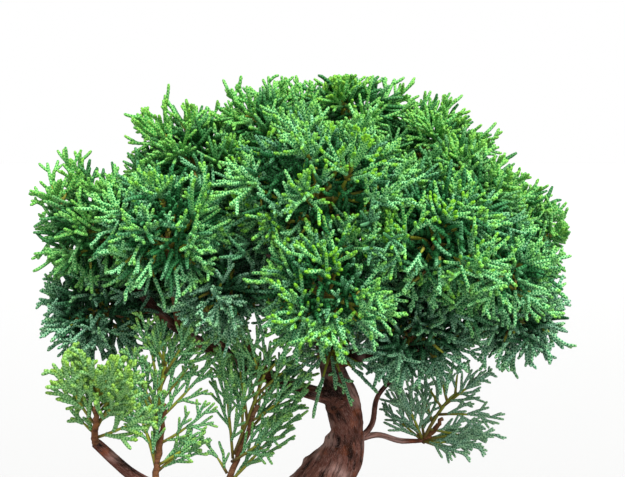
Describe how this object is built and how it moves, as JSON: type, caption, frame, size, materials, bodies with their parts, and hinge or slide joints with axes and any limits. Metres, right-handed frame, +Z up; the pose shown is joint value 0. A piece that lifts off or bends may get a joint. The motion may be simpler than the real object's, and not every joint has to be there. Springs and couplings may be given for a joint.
{
  "type": "bonsai tree in a pot",
  "caption": "Small juniper bonsai: a leaning trunk with limbs and clumps of scale-leaved sprays, standing in soil in a plain rectangular footed pot.",
  "frame": {"origin": "on the table, under the middle of the whole object (tree and pot)", "axes": "+Z up, -Y towards the front of the tree, +X to the viewer's right from the front"},
  "size_m": [0.1723, 0.121, 0.2111],
  "materials": {
    "pot": "unglazed stoneware, matte with a slight sheen on the rim",
    "drain_screen": "matte",
    "soil": "rough baked-clay granules",
    "bark": "rough fibrous bark",
    "foliage": "waxy scale leaves, satin",
    "foliage_open": "waxy scale leaves, satin"
  },
  "bodies": {
    "root": {"pot": "pot", "drain_screen_left": "drain_screen", "drain_screen_right": "drain_screen", "soil": "soil", "trunk_and_branches": "bark", "foliage_front_dome": "foliage", "foliage_front_apron": "foliage", "foliage_left_front": "foliage", "foliage_left_front_low": "foliage", "foliage_right_front": "foliage", "foliage_right_front_low": "foliage", "foliage_right_shoulder": "foliage", "foliage_right_low": "foliage", "foliage_right_edge_low": "foliage", "foliage_low_left_tip": "foliage", "foliage_low_left_fan": "foliage", "foliage_low_middle_fan": "foliage", "foliage_low_right_spray": "foliage", "foliage_left_shoulder": "foliage", "foliage_left_side": "foliage", "foliage_left_side_low": "foliage", "foliage_top_left": "foliage", "foliage_top": "foliage", "foliage_top_right": "foliage", "foliage_right_side": "foliage", "foliage_right_tip": "foliage", "foliage_inner_low": "foliage", "foliage_back_top": "foliage", "foliage_back_left_high": "foliage", "foliage_back_left_side": "foliage", "foliage_back_middle": "foliage", "foliage_back_right_high": "foliage", "foliage_back_right_side": "foliage", "foliage_back_left_low": "foliage", "foliage_back_middle_low": "foliage", "foliage_back_right_low": "foliage"}
  },
  "joints": []
}
